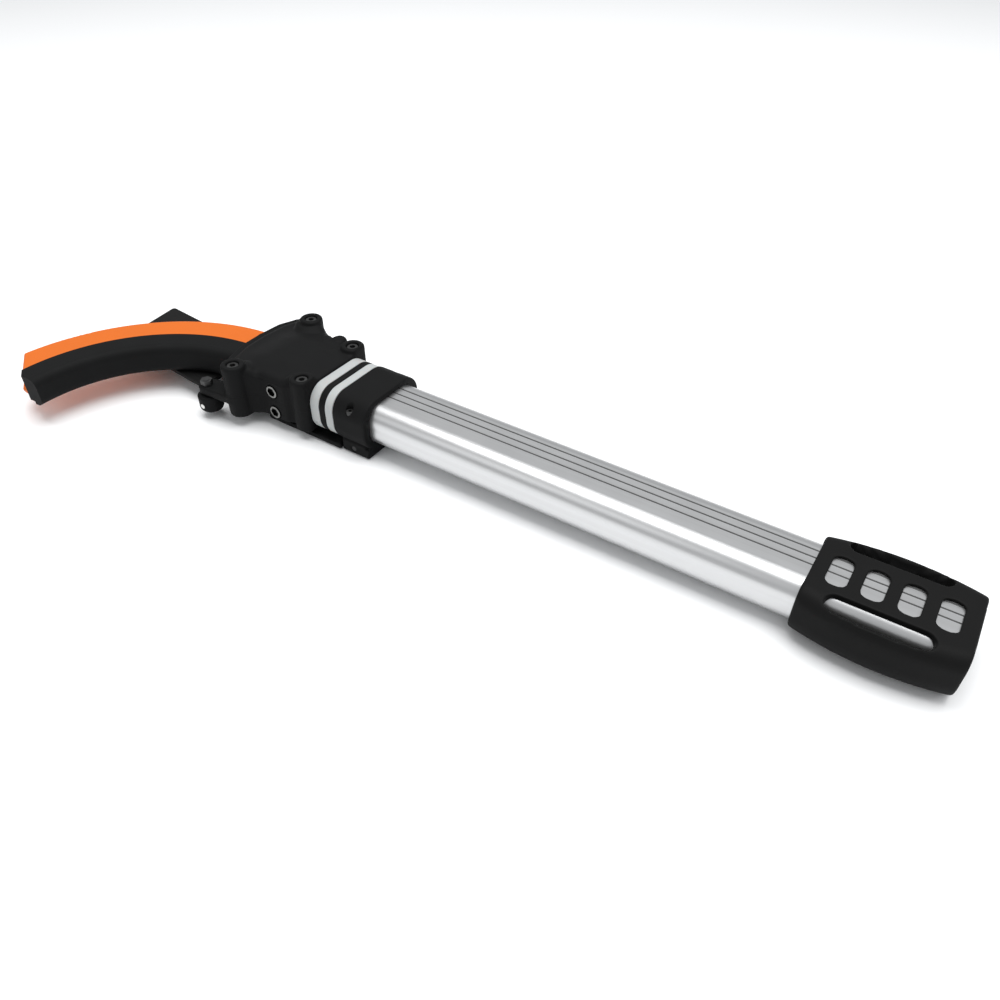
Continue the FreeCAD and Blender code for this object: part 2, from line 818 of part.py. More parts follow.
def make_grip():
    body = new_body("grip_body")
    pad(body, "XY_Plane", -grip_bottom, grip_top + grip_bottom, draw_grip)
    for level, value in ((grip_top.number, 9.5), (-grip_bottom.number, 16.0)):
        round_edges(
            body, value,
            lambda edge: flat_at(edge, "z", level) and edge.Curve.TypeId == "Part::GeomCircle",
        )
    ends = (grip_start.number, grip_end.number)
    round_edges(body, 1.6, lambda edge: any(flat_at(edge, "x", end) for end in ends))
    pocket(body, "YZ_Plane", grip_start - 1, grip_end - grip_start + 2, centred, *tube_size(0))
    for count in range(4):
        x = grip_start + 14.8 + count * window_pitch
        span = (x - window_wide / 2, x + window_wide / 2, -13.0, 11.3, 4.2)
        pocket(body, "XY_Plane", 0, 2 * grip_top, rounded, *span)
    for side in (1, -1):
        pocket(body, "XY_Plane", 8, 2 * grip_top, draw_side_slot, side)
    finish(body, "grip_sleeve")


def make_butt():
    flange = bar("butt_flange", "YZ_Plane", tube_end, grip_end - tube_end, centred, *tube_size(0))
    plug = bar("butt_plug", "YZ_Plane", tube_end - 18, 18.5, centred, *bore_size(0))
    wide, high, corner = bore_size(0)
    hollow = bar(
        "butt_hollow", "YZ_Plane", tube_end - 19, 19, centred, wide - 5, high - 5, corner - 2.5,
    )
    hole = rod("butt_hole", "y", (tube_end - 8, 0), -30, 30, pin_radius)
    finish(cut("butt_cap", fuse("butt_solid", flange, plug), hollow, hole), "butt_cap")
    pin = rod("butt_pin_bar", "y", (tube_end - 8, 0), -pole_wide / 2, pole_wide / 2, pin_radius)
    bore = rod("butt_pin_bore", "y", (tube_end - 8, 0), -30, 30, 1.1)
    finish(cut("butt_pin", pin, bore), "butt_pin")


# The head: two shells bolted round the innermost tube, and the blade clamped in its end.

BOSSES = [
    (front_x, front_y), (front_x, -front_y), (rear_x, rear_y), (rear_x, -rear_y),
]
RIVETS = 5
FLAP_RIVETS = [(-222.0, -5.0), (-176.0, 18.0)]
CLAMP_X = [size(-95.0), size(-79.0)]
SIDE_X = size(-83.0)
SIDE_Z = [size(6.6), size(-11.0)]
SIDE_FACE = size(35.0)
CAP_UNDER = size(17.9)


def head_outline(sketch):
    polygon(
        sketch,
        [
            (HEAD_REAR, -29.5), (HEAD_REAR, 29.5), (-68, 32), (-84, 35.5), (-98, 42), (-110, 50),
            (-133, 47.5), (head_front + 1.5, 32), (head_front, 12), (head_front + 1, -8),
            (head_front + 6, -25), (head_front + 15, -40), (-112, -46), (-99, -38), (-94, -SIDE_FACE),
            (-72, -SIDE_FACE), (-65, -31.5),
        ],
    )


def head_half(name, low, high):
    """Half of the head between the parting face and its crown or floor, with the boss columns."""
    blank = bar(name + "_blank", "XY_Plane", low, size(high) - low, head_outline)
    top = size(high).number > 10
    level = size(high).number if top else size(low).number
    rear = HEAD_REAR.number
    blank = soften(
        name + "_sides", blank, 4.0, lambda edge: upright(edge) and edge.BoundBox.XMax < rear - 1
    )
    blank = soften(
        name + "_crown", blank, 6.0 if top else 2.4,
        lambda edge: flat_at(edge, "z", level) and edge.BoundBox.XMin < rear - 0.1,
    )
    columns = []
    for count, (x, y) in enumerate(BOSSES):
        if top:
            column = rod(f"{name}_boss_{count}", "z", (x, y), low, boss_top, boss_radius)
            end = boss_top.number
        else:
            column = rod(f"{name}_boss_{count}", "z", (x, y), -boss_bottom, high, boss_radius)
            end = -boss_bottom.number
        columns.append(soften(f"{name}_boss_edge_{count}", column, 1.2, lambda edge: flat_at(edge, "z", end)))
    behind = box(name + "_behind", (HEAD_REAR, HEAD_REAR + 20), (-60, 60), (-40, 40))
    return cut(name + "_solid", fuse(name + "_bossed", blank, *columns), behind)


def head_passages(name):
    """What both halves leave open: the tube, the blade, the scabbard's mouth and the clamp."""
    tools = [
        bar(name + "_tube", "YZ_Plane", HEAD_TUBE_FRONT, 60, centred, *tube_size(4)),
        box(name + "_slot", (-129, HEAD_TUBE_FRONT + 1), (-17, 17), (-1.5, 1.5)),
        bar(name + "_mouth", "YZ_Plane", head_front - 2, 15, rounded, -24, 25, -13, 13, 4),
        box(name + "_clamp", (-103, -71), (-13, 13), (-13.5, 13)),
    ]
    for count, z in enumerate(SIDE_Z):
        for side in (1, -1):
            span = sorted((side * 22, side * 50))
            tools.append(rod(f"{name}_side_{count}_{side + 1}", "y", (SIDE_X, z), *span, 2.0))
            span = sorted((side * (SIDE_FACE.number - 2.6), side * 60))
            tools.append(rod(f"{name}_sink_{count}_{side + 1}", "y", (SIDE_X, z), *span, 5.0))
    for count, (x, y) in enumerate(BOSSES):
        tools.append(rod(f"{name}_bolt_{count}", "z", (x, y), -30, 30, bolt_radius))
    return tools


def make_head_upper():
    solid = head_half("head_upper", 0, head_top)
    bump = rod("head_bump", "z", (-76, 33), 0, 21.5, 6.0)
    bump = soften("head_bump_edge", bump, 3.0, lambda edge: flat_at(edge, "z", 21.5))
    solid = fuse("head_upper_bumped", solid, bump)
    tools = head_passages("head_upper")
    for count, (x, y) in enumerate(BOSSES):
        tools.append(rod(f"head_upper_cup_{count}", "z", (x, y), CAP_UNDER, 30, 4.7))
    finish(cut("head_upper", solid, *tools), "head_upper_shell")


def make_head_lower():
    solid = head_half("head_lower", -head_bottom, 0)
    lug = bar(
        "knob_lug", "XY_Plane", -7, 7, polygon,
        [(knob_x - 6, knob_y - 6), (-112, -51), (-112, -32), (knob_x - 6, knob_y + 8)],
    )
    lug = soften("knob_lug_round", lug, 4.0, lambda edge: upright(edge) and edge.BoundBox.XMax < -120)
    solid = fuse("head_lower_lugged", solid, lug)
    tools = head_passages("head_lower")
    tools.append(rod("knob_hole", "z", (knob_x, knob_y), -30, 30, 2.5 + EPS))
    for count, (x, y) in enumerate(BOSSES):
        nut = doc.addObject("Part::Prism", f"nut_seat_{count}")
        nut.Polygon = 6
        nut.Circumradius = 4.75
        nut.Height = 5
        move(nut, x, y, -boss_bottom - 0.8)
        tools.append(nut)
    finish(cut("head_lower", solid, *tools), "head_lower_shell")


def hex_nut(name, at, low, high, circumradius, bore):
    blank = doc.addObject("Part::Prism", name + "_hex")
    blank.Polygon = 6
    bind(blank, "Circumradius", circumradius)
    bind(blank, "Height", size(high) - low)
    move(blank, at[0], at[1], low)
    hole = rod(name + "_hole", "z", at, size(low) - 1, size(high) + 1, bore)
    return cut(name, blank, hole)


def make_head_fasteners():
    end = -boss_bottom + 0.6
    screws = [
        socket_screw(f"head_screw_{count}", "z", at, CAP_UNDER, 4.6, cap_radius, bolt_radius, end, 2.35)
        for count, at in enumerate(BOSSES)
    ]
    finish(group("head_screws", screws), "head_screws")
    nuts = [
        hex_nut(f"head_nut_{count}", at, -boss_bottom + 0.3, -boss_bottom + 4.2, 4.75, bolt_radius)
        for count, at in enumerate(BOSSES)
    ]
    finish(group("head_nuts", nuts), "head_nuts")
    screws = []
    for count, z in enumerate(SIDE_Z):
        for side in (1, -1):
            under = side * (SIDE_FACE - 2.6)
            screws.append(
                socket_screw(
                    f"side_screw_{count}_{side + 1}", "y", (SIDE_X, z), under, 3.2, 4.85, 2.0, side * 23, 3.7
                )
            )
    finish(group("side_screws", screws), "side_screws")


def make_clamp():
    """Two blocks inside the tube grip the blade's tang, held by two bolts with nuts."""
    wide, high, corner = bore_size(4)
    for label, low, length in (
        ("clamp_upper", blade_thick / 2, high / 2 - blade_thick / 2 - EPS),
        ("clamp_lower", -(high / 2) + EPS, high / 2 - blade_thick / 2 - EPS),
    ):
        block = bar(
            label + "_block", "XY_Plane", low, length, rounded,
            HEAD_TUBE_FRONT + 0.5, CLAMP_X[1] + 10, -(wide / 2) + corner, wide / 2 - corner, 1.0,
        )
        holes = [rod(f"{label}_hole_{n}", "z", (x, 0), -20, 20, bolt_radius) for n, x in enumerate(CLAMP_X)]
        finish(cut(label, block, *holes), label)
    face = tube_size(4)[1] / 2
    bolts = [
        socket_screw(f"clamp_bolt_{n}", "z", (x, 0), face, 4.5, cap_radius, bolt_radius, -12.2, 2.35)
        for n, x in enumerate(CLAMP_X)
    ]
    finish(group("clamp_bolts", bolts), "clamp_bolts")
    nuts = [
        hex_nut(f"clamp_nut_{n}", (x, 0), -face - 4.2, -face, 4.6, bolt_radius)
        for n, x in enumerate(CLAMP_X)
    ]
    finish(group("clamp_nuts", nuts), "clamp_nuts")


TOOTH_PITCH = 2.6


def make_blade():
    """Curved pull saw: a straight tang, then an arc that narrows to the tip, teeth inside the bend."""
    spine = BLADE_MID.number + blade_half.number
    edge = BLADE_MID.number - blade_half.number
    centre = Vector(arc_x.number, arc_y.number, 0)
    sweep = math.radians(blade_sweep.number)

    def around(r, angle):
        return centre + Vector(-r * math.sin(angle), r * math.cos(angle), 0)

    tip = around(spine - 3, sweep)
    back = [around(spine, 0), around(spine, 0.5 * sweep), around(spine - 1.5, 0.93 * sweep)]
    half = tang_half.number
    end = tang_end.number
    neck = -107.0
    root = Vector(neck, half, 0)
    points = [Vector(neck, -half, 0), Vector(end, -half, 0), Vector(end, half, 0), root]
    edges = [Part.LineSegment(a, b).toShape() for a, b in zip(points, points[1:])]
    shoulder = Vector(neck - 2, spine + centre.y, 0)
    edges.append(Part.LineSegment(root, shoulder).toShape())
    edges.append(Part.LineSegment(shoulder, back[0]).toShape())
    edges.append(Part.Arc(*back).toShape())
    edges.append(Part.LineSegment(back[2], tip).toShape())
    outline = []
    first = 0.1
    last = 0.93
    teeth = int((last - first) * sweep * (edge + 6) / TOOTH_PITCH / 2)
    for tooth in range(teeth + 1):
        share = last - (last - first) * tooth / teeth
        angle = share * sweep
        step = (last - first) * sweep / teeth
        deep = edge + 20 * max(0.0, share - 0.1) ** 1.6
        outline.append(around(deep, angle))
        outline.append(around(deep + 3.4, angle - 0.5 * step))
    outline = [tip] + outline[:-1]
    outline.append(around(edge, 0.0))
    outline.append(Vector(neck - 2, edge + centre.y, 0))
    outline.append(points[0])
    edges += [Part.LineSegment(a, b).toShape() for a, b in zip(outline, outline[1:])]
    face = Part.Face(Part.Wire(Part.__sortEdges__(edges)))
    face.translate(Vector(0, 0, -blade_thick.number / 2))
    solid = face.extrude(Vector(0, 0, blade_thick.number))
    for x in CLAMP_X:
        hole = Part.makeCylinder(bolt_radius.number, 10, Vector(x.number, 0, -5))
        solid = solid.cut(hole)
    item = doc.addObject("Part::Feature", "blade_plate")
    item.Shape = solid
    finish(item, "saw_blade")


def make_knob():
    """A thumb knob on a stud through the near lug, held by a nut and a cross pin."""
    at = (knob_x, knob_y)
    low = knob_top - knob_high
    core = rod("knob_core", "z", at, low, knob_top, knob_radius)
    core = soften("knob_dome", core, 4.5, lambda edge: flat_at(edge, "z", low.number))
    core = soften("knob_rim", core, 1.5, lambda edge: flat_at(edge, "z", knob_top.number))
    bore = rod("knob_bore", "z", at, low + 3, knob_top + 1, 2.5)
    middle = low + knob_high * 0.5
    hole = rod("knob_cross_hole", "y", (0, 0), -20, 20, 1.8)
    turn = Rotation(Vector(0, 0, 1), 5).multiply(Rotation(Vector(1, 0, 0), -90))
    reach = 20.0

    def across(item, length):
        """Lays a bar level through the knob's axis."""
        item.Placement.Rotation = turn
        offset = turn.multVec(Vector(0, 0, length / 2))
        move(item, knob_x - offset.x, knob_y - offset.y, middle)
        return item

    across(hole, 2 * reach)
    finish(cut("clamp_knob", core, bore, hole), "clamp_knob")
    stud = rod("stud_bar", "z", at, low + 3, 4.2, 2.5)
    hole = across(rod("stud_cross_hole", "y", (0, 0), -reach, reach, 1.8), 2 * reach)
    finish(cut("knob_stud", stud, hole), "knob_stud")
    pin_long = 2 * knob_radius.number + 0.6
    pin = across(rod("knob_pin_bar", "y", (0, 0), 0, pin_long, 1.8), pin_long)
    finish(group("knob_pin", [pin]), "knob_pin")
    finish(group("stud_nut", [hex_nut("stud_hex", at, 0.3, 3.9, 4.5, 2.5)]), "stud_nut")


# The scabbard over the blade, which slides off round the blade's own arc.


def set_arc(body, label, start=sheath_start):
    """Names a body drawn about the arc's centre, and turns and moves it into place."""
    body.Placement.Rotation = Rotation(Vector(0, 0, 1), size(start).number)
    body.Label = label
    move(body, shift_x + arc_x, shift_y + arc_y, shift_z)
    pieces.append(body)


END_LINE = [Vector(-271.0, -106.0, 0), Vector(-249.0, -122.2, 0)]


def end_band(near, far, start=sheath_start):
    """Corners, in a scabbard body's own frame, of the band between two lines along the slanted end."""
    along = (END_LINE[1] - END_LINE[0]).normalize()
    out = Vector(along.y, -along.x, 0)
    back = Rotation(Vector(0, 0, 1), -size(start).number)
    centre = Vector(arc_x.number, arc_y.number, 0)
    corners = []
    for reach, offset in ((-40, near), (60, near), (60, far), (-40, far)):
        point = back.multVec(END_LINE[0] + along * reach + out * offset - centre)
        corners.append((round(point.x, 4), round(point.y, 4)))
    return corners


def plug_room(start, thick):
    """Corners of what the end plug leaves open, up to the slanted face and the guard's own end."""
    along = (END_LINE[1] - END_LINE[0]).normalize()
    out = Vector(along.y, -along.x, 0)
    back = Rotation(Vector(0, 0, 1), -size(start).number)
    centre = Vector(arc_x.number, arc_y.number, 0)
    base = back.multVec(END_LINE[0] - out * thick - centre)
    run = back.multVec(along)
    angle = math.radians((sheath_start + sheath_sweep + 2.8 - start).number)
    ray = Vector(math.cos(angle), math.sin(angle), 0)
    reach = (base.y * ray.x - base.x * ray.y) / (run.x * ray.y - run.y * ray.x)
    early = math.radians(-20)
    corners = [
        base + run * reach, base - run * 40,
        Vector(math.cos(early), math.sin(early), 0) * 220, Vector(math.cos(early), math.sin(early), 0) * 50,
        ray * 50,
    ]
    return [(round(point.x, 4), round(point.y, 4)) for point in corners]


def draw_shell(sketch):
    """C section of the coloured shell, open towards the teeth, its floor reaching further in."""
    inner = sheath_half - sheath_wall
    floor = sheath_mid - 12
    polygon(
        sketch,
        [
            (sheath_mid, sheath_half), (sheath_mid, inner), (sheath_out - 3, inner),
            (sheath_out - 3, -inner), (floor, -inner), (floor, -sheath_half),
            (sheath_out, -sheath_half), (sheath_out, sheath_half),
        ],
    )


def make_sheath_shell():
    body = new_body("sheath_shell_body")
    revolve(body, sheath_sweep + 1.2, draw_shell)
    out = sheath_out.number
    pocket(body, "XY_Plane", -sheath_half + 4, 2 * sheath_half, polygon, end_band(0, 60))
    pocket(body, "XY_Plane", -sheath_half - 1, 3 * sheath_half, polygon, end_band(6, 60))
    round_edges(
        body, 2.5,
        lambda edge: upright(edge)
        and edge.Length > 2.5
        and math.atan2(edge.BoundBox.YMin, edge.BoundBox.XMin) > 1
        and math.hypot(edge.BoundBox.XMin, edge.BoundBox.YMin) > out - 0.3,
    )
    levels = (sheath_half.number, -sheath_half.number)
    round_edges(
        body, 2.2,
        lambda edge: any(flat_at(edge, "z", level) for level in levels)
        and edge.Curve.TypeId == "Part::GeomCircle"
        and (abs(edge.Curve.Radius - out) < 0.1 or edge.Curve.Radius < 3),
    )
    for count in range(RIVETS):
        x, y = rivet_place(count)
        pocket(body, "XY_Plane", -sheath_half - 1, sheath_wall + 2, disc, x, y, RIVET_RADIUS)
    set_arc(body, "scabbard_shell")


RIVET_RADIUS = 1.5


def rivet_place(count):
    """Place of a rivet about the arc's centre, on the guard's lower flange."""
    angle = math.radians(10 + 16.5 * count)
    reach = sheath_mid - 6
    return reach * round(math.cos(angle), 5), reach * round(math.sin(angle), 5)


def draw_guard(sketch):
    """Section of the dark guard: round towards the teeth, with a flange over the shell's floor."""
    inner = sheath_half - sheath_wall
    left = sheath_in
    polygon(
        sketch,
        [
            (left, -sheath_half), (sheath_mid - 12, -sheath_half), (sheath_mid - 12, -inner),
            (sheath_mid, -inner), (sheath_mid, -inner + 2.4), (left + 3.4, -inner + 2.4),
            (left + 3.4, inner), (sheath_mid, inner), (sheath_mid, sheath_half), (left, sheath_half),
        ],
    )


def make_sheath_guard():
    body = new_body("sheath_guard_body")
    revolve(body, sheath_sweep + 4, draw_guard)
    pocket(body, "XY_Plane", -sheath_half - 1, 3 * sheath_half, polygon, end_band(0, 60))
    inside = sheath_in.number
    levels = (sheath_half.number, -sheath_half.number)
    round_edges(
        body, 6.5,
        lambda edge: any(flat_at(edge, "z", level) for level in levels)
        and edge.Curve.TypeId == "Part::GeomCircle"
        and abs(edge.Curve.Radius - inside) < 0.1,
    )
    for count in range(RIVETS):
        x, y = rivet_place(count)
        pocket(body, "XY_Plane", -sheath_half, 6, disc, x, y, RIVET_RADIUS)
    set_arc(body, "scabbard_guard")


def make_sheath_rivets():
    low = -sheath_half
    high = -(sheath_half - sheath_wall) + 2.4
    rivets = []
    for count in range(RIVETS):
        at = rivet_place(count)
        shank = rod(f"rivet_{count}_shank", "z", at, low, high, RIVET_RADIUS)
        head = rod(f"rivet_{count}_head", "z", at, high, high + 0.8, 2.6)
        rivets.append(fuse(f"rivet_{count}", shank, head))
    set_arc(group("sheath_rivets", rivets), "scabbard_rivets")


def draw_tip(sketch):
    """Section of the hollow inside shell and guard, above the guard's flange."""
    inner = sheath_half - sheath_wall
    polygon(
        sketch,
        [
            (sheath_mid, -inner), (sheath_out - 3, -inner), (sheath_out - 3, inner),
            (sheath_in + 3.4, inner), (sheath_in + 3.4, -inner + 2.4), (sheath_mid, -inner + 2.4),
        ],
    )


def make_sheath_tip():
    """A plug that closes the scabbard's far end."""
    body = new_body("sheath_tip_body")
    begin = sheath_start + sheath_sweep - 8
    revolve(body, 12.0, draw_tip)
    for outline in (end_band(0, 60, begin), plug_room(begin, 2.2)):
        pocket(body, "XY_Plane", -sheath_half - 1, 3 * sheath_half, polygon, outline)
    set_arc(body, "scabbard_tip", begin)


FLAP_TURN = -5.6
FLAP_CORNER = (-273.5, 33.5)


def make_flap():
    """A flat strap plate under the scabbard, for hanging the saw from a belt."""
    body = new_body("belt_flap_body")
    long, wide, thick = 122.0, 61.0, 3.0
    pad(body, "XY_Plane", 0, thick, polygon, [(0, 0), (14.4, -wide), (long, -wide), (long, 0)])
    round_edges(body, 2.5, upright)
    turn = Rotation(Vector(0, 0, 1), FLAP_TURN)
    for x, y in FLAP_RIVETS:
        at = turn.inverted().multVec(Vector(x - FLAP_CORNER[0], y - FLAP_CORNER[1], 0))
        pocket(body, "XY_Plane", -1, thick + 2, disc, round(at.x, 4), round(at.y, 4), 2.0)
    body.Placement.Rotation = turn
    body.Label = "belt_flap"
    move(
        body, shift_x + FLAP_CORNER[0], shift_y + FLAP_CORNER[1], shift_z - sheath_half - thick - 0.1,
    )
    pieces.append(body)


def make_flap_rivets():
    """Flat rivets that stand under the scabbard's floor and carry the flap."""
    rivets = []
    for count, (x, y) in enumerate(FLAP_RIVETS):
        top = -sheath_half.number
        shank = rod(f"flap_rivet_{count}_shank", "z", (x, y), top - 4, top, 2.0)
        head = rod(f"flap_rivet_{count}_head", "z", (x, y), top - 4.2, top - 3.1, 4.0)
        rivets.append(fuse(f"flap_rivet_{count}", shank, head))
    finish(group("flap_rivets", rivets), "flap_rivets")


make_outer_tube()
make_grip()
make_butt()
make_collar()
make_collar_screws()
make_lever()
make_brake_pad()
for stage in (2, 3, 4):
    make_stage_tube(stage)
    make_shoe(stage)
    make_ring(stage)
    make_lock_pin(stage)
    make_lock_spring(stage)
make_stage_tube(5)
make_shoe(5)
make_head_upper()
make_head_lower()
make_head_fasteners()
make_clamp()
make_blade()
make_knob()
make_sheath_shell()
make_sheath_guard()
make_sheath_rivets()
make_sheath_tip()
make_flap()
make_flap_rivets()
doc.recompute()

for item in doc.Objects:
    if "Invalid" in item.State or "Error" in item.State:
        raise ValueError(f"{item.Name} failed: {item.State}")
for piece in pieces:
    if piece.Shape.isNull() or not piece.Shape.isValid() or not piece.Shape.Solids:
        raise ValueError(f"{piece.Label} has no valid shape")

os.makedirs("parts", exist_ok=True)
whole = FreeCAD.BoundBox()
for piece in pieces:
    piece.Shape.exportStep(f"parts/{piece.Label}.step")
    bounds = piece.Shape.optimalBoundingBox()
    whole.add(bounds)
print(f"{len(pieces)} pieces")
print("X", round(whole.XMin, 3), round(whole.XMax, 3))
print("Y", round(whole.YMin, 3), round(whole.YMax, 3))
print("Z", round(whole.ZMin, 3), round(whole.ZMax, 3))
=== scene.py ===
import json
import math

import bmesh
import bpy
from mathutils import Matrix, Vector


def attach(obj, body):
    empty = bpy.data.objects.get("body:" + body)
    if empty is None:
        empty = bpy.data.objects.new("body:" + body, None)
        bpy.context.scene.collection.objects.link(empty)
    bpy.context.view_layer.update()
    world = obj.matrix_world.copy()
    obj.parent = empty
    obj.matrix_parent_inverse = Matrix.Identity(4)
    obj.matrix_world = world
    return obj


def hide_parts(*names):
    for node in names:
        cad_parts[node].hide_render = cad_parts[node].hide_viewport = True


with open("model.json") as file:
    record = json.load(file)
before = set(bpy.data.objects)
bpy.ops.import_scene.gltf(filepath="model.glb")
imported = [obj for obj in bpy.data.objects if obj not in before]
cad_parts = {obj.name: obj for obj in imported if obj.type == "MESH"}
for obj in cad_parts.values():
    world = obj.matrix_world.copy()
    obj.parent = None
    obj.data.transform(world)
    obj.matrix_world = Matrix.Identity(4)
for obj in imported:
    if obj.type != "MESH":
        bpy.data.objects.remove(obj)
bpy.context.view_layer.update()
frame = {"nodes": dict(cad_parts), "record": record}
cad = frame["nodes"]
mm = 0.001
poleAxis = Vector((-57.95, 38.25, 24.5)) * mm  # where the collar's rear face meets the pole's axis


studio = {
    "cameraAt": (0.27315, -0.33745, 0.3681),
    "turn": 32.38, "pitch": 49.38, "roll": 0.88,
    "lens": 30.02,
    "floorTouch": (-0.058, 0.0), "floorTilt": 0.884,  # it lies on its collar and its grip
    "floorHalf": 6.0, "floorBelow": 0.0001, "floorRoughness": 0.8, "clip": (0.01, 50.0), "film": 36.0,
    "floorColour": (0.93, 0.935, 0.94, 1.0),
    "sky": (0.97, 0.985, 1.0, 1.0), "skyStrength": 0.55,
    "overhead": {"place": (0.0, 0.25, 2.4), "size": (2.6, 1.6), "power": 62.0},
    "near": {"place": (-0.5, -1.1, 0.95), "size": (0.9, 0.7), "power": 1.5},
    "side": {"place": (1.3, 0.3, 0.9), "size": (0.7, 0.7), "power": 3.0},
}


def standCamera():
    lens = bpy.data.cameras.new("studioCamera")
    lens.lens, lens.sensor_width = studio["lens"], studio["film"]
    lens.clip_start, lens.clip_end = studio["clip"]
    camera = bpy.data.objects.new("studioCamera", lens)
    aim = (Matrix.Rotation(math.radians(studio["turn"]), 4, "Z")
           @ Matrix.Rotation(math.radians(studio["pitch"]), 4, "X")
           @ Matrix.Rotation(math.radians(studio["roll"]), 4, "Z"))
    camera.matrix_world = Matrix.Translation(studio["cameraAt"]) @ aim
    bpy.context.scene.collection.objects.link(camera)
    bpy.context.scene.camera = camera


def layFloor():
    x, z = studio["floorTouch"]
    tilt = math.radians(studio["floorTilt"])
    sheet = bmesh.new()
    bmesh.ops.create_grid(sheet, x_segments=2, y_segments=2, size=studio["floorHalf"])
    level = z - x * math.tan(tilt) - studio["floorBelow"]
    bmesh.ops.rotate(sheet, cent=(0, 0, 0), matrix=Matrix.Rotation(-tilt, 3, "Y"), verts=sheet.verts)
    bmesh.ops.translate(sheet, vec=(0, 0, level), verts=sheet.verts)
    mesh = bpy.data.meshes.new("studioFloor")
    sheet.to_mesh(mesh)
    sheet.free()
    floor = bpy.data.objects.new("studioFloor", mesh)
    bpy.context.scene.collection.objects.link(floor)
    paper = bpy.data.materials.new("palePaper")
    paper.use_nodes = True
    shader = paper.node_tree.nodes["Principled BSDF"]
    shader.inputs["Base Color"].default_value = studio["floorColour"]
    shader.inputs["Roughness"].default_value = studio["floorRoughness"]
    mesh.materials.append(paper)


def hangLight(name, place, size, power):
    lamp = bpy.data.lights.new(name, "AREA")
    lamp.shape, lamp.size, lamp.size_y, lamp.energy = "RECTANGLE", size[0], size[1], power
    thing = bpy.data.objects.new(name, lamp)
    away = Vector(place)  # it looks at the middle of the saw
    thing.matrix_world = Matrix.Translation(place) @ away.to_track_quat("Z", "Y").to_matrix().to_4x4()
    bpy.context.scene.collection.objects.link(thing)


def lightStudio():
    world = bpy.data.worlds.new("studioSky")
    bpy.context.scene.world = world
    world.use_nodes = True
    sky = world.node_tree.nodes["Background"]
    sky.inputs["Color"].default_value = studio["sky"]
    sky.inputs["Strength"].default_value = studio["skyStrength"]
    for name in ("overhead", "near", "side"):
        hangLight(name + "Softbox", **studio[name])
    scene = bpy.context.scene
    scene.view_settings.view_transform = "Standard"
    scene.view_settings.look = "None"


standCamera()
layFloor()
lightStudio()
print("studio set")


class Port:  # one output socket, with arithmetic on it
    def __init__(self, socket):
        self.socket, self.tree = socket, socket.id_data

    def node(self, kind, settings, sockets, out=0):
        made = self.tree.nodes.new("ShaderNode" + kind)
        for key, value in settings.items():
            setattr(made, key, value)
        for key, value in sockets.items():
            if isinstance(value, Port):
                self.tree.links.new(value.socket, made.inputs[key])
            else:
                made.inputs[key].default_value = value
        return Port(made.outputs[out])

    def maths(self, operation, first, second=0.0):
        return self.node("Math", {"operation": operation}, {0: first, 1: second})

    def __add__(self, other):
        return self.maths("ADD", self, other)

    def __sub__(self, other):
        return self.maths("SUBTRACT", self, other)

    def __rsub__(self, other):
        return self.maths("SUBTRACT", other, self)

    def __mul__(self, other):
        return self.maths("MULTIPLY", self, other)

    __radd__, __rmul__ = __add__, __mul__


class Finish:  # a material on its piece's own coordinates
    def __init__(self, name, **constants):
        self.material = bpy.data.materials.new(name)
        self.material.use_nodes = True
        self.tree = self.material.node_tree
        self.shader = self.tree.nodes["Principled BSDF"]
        for socket, value in constants.items():
            self.shader.inputs[socket.replace("_", " ")].default_value = value
        self.place = Port(self.tree.nodes.new("ShaderNodeTexCoord").outputs["Object"])

    def drive(self, socket, port):
        self.tree.links.new(port.socket, self.shader.inputs[socket])

    def axes(self, where=None):  # x, y and z as ports of their own
        parted = self.tree.nodes.new("ShaderNodeSeparateXYZ")
        self.tree.links.new((where or self.place).socket, parted.inputs["Vector"])
        return [Port(socket) for socket in parted.outputs]

    def along(self, stretch, turn=0.0):
        return self.place.node("Mapping", {}, {
            "Vector": self.place, "Scale": stretch, "Rotation": (0, 0, turn)})

    def noise(self, scale, detail=2.0, roughness=0.5, where=None):
        return self.place.node("TexNoise", {}, {
            "Vector": where or self.place, "Scale": scale, "Detail": detail, "Roughness": roughness})

    def cells(self, scale):
        return self.place.node("TexVoronoi", {}, {"Vector": self.place, "Scale": scale})

    def band(self, value, low, high):
        return self.place.node("MapRange", {"interpolation_type": "SMOOTHSTEP"}, {
            "Value": value, "From Min": low, "From Max": high})

    def mixed(self, factor, first, second):
        return self.place.node("Mix", {"data_type": "RGBA"}, {0: factor, 6: first, 7: second}, out=2)

    def bumped(self, height, distance, strength=1.0):
        self.drive("Normal", self.place.node("Bump", {}, {
            "Height": height, "Distance": distance, "Strength": strength}))


def tone(level, tint=(1.0, 1.0, 1.0)):
    return (*(level * c for c in tint), 1.0)


grooves = {  # three along the top of the pole and three along its underside, painted dark as shade
    "first": 4.0 * mm, "pitch": 6.4 * mm, "edge": (0.07, 0.12), "beyondLast": (1.2, 1.3),
    "floor": (14.9 * mm, 15.0 * mm), "face": (15.28 * mm, 15.44 * mm),
}


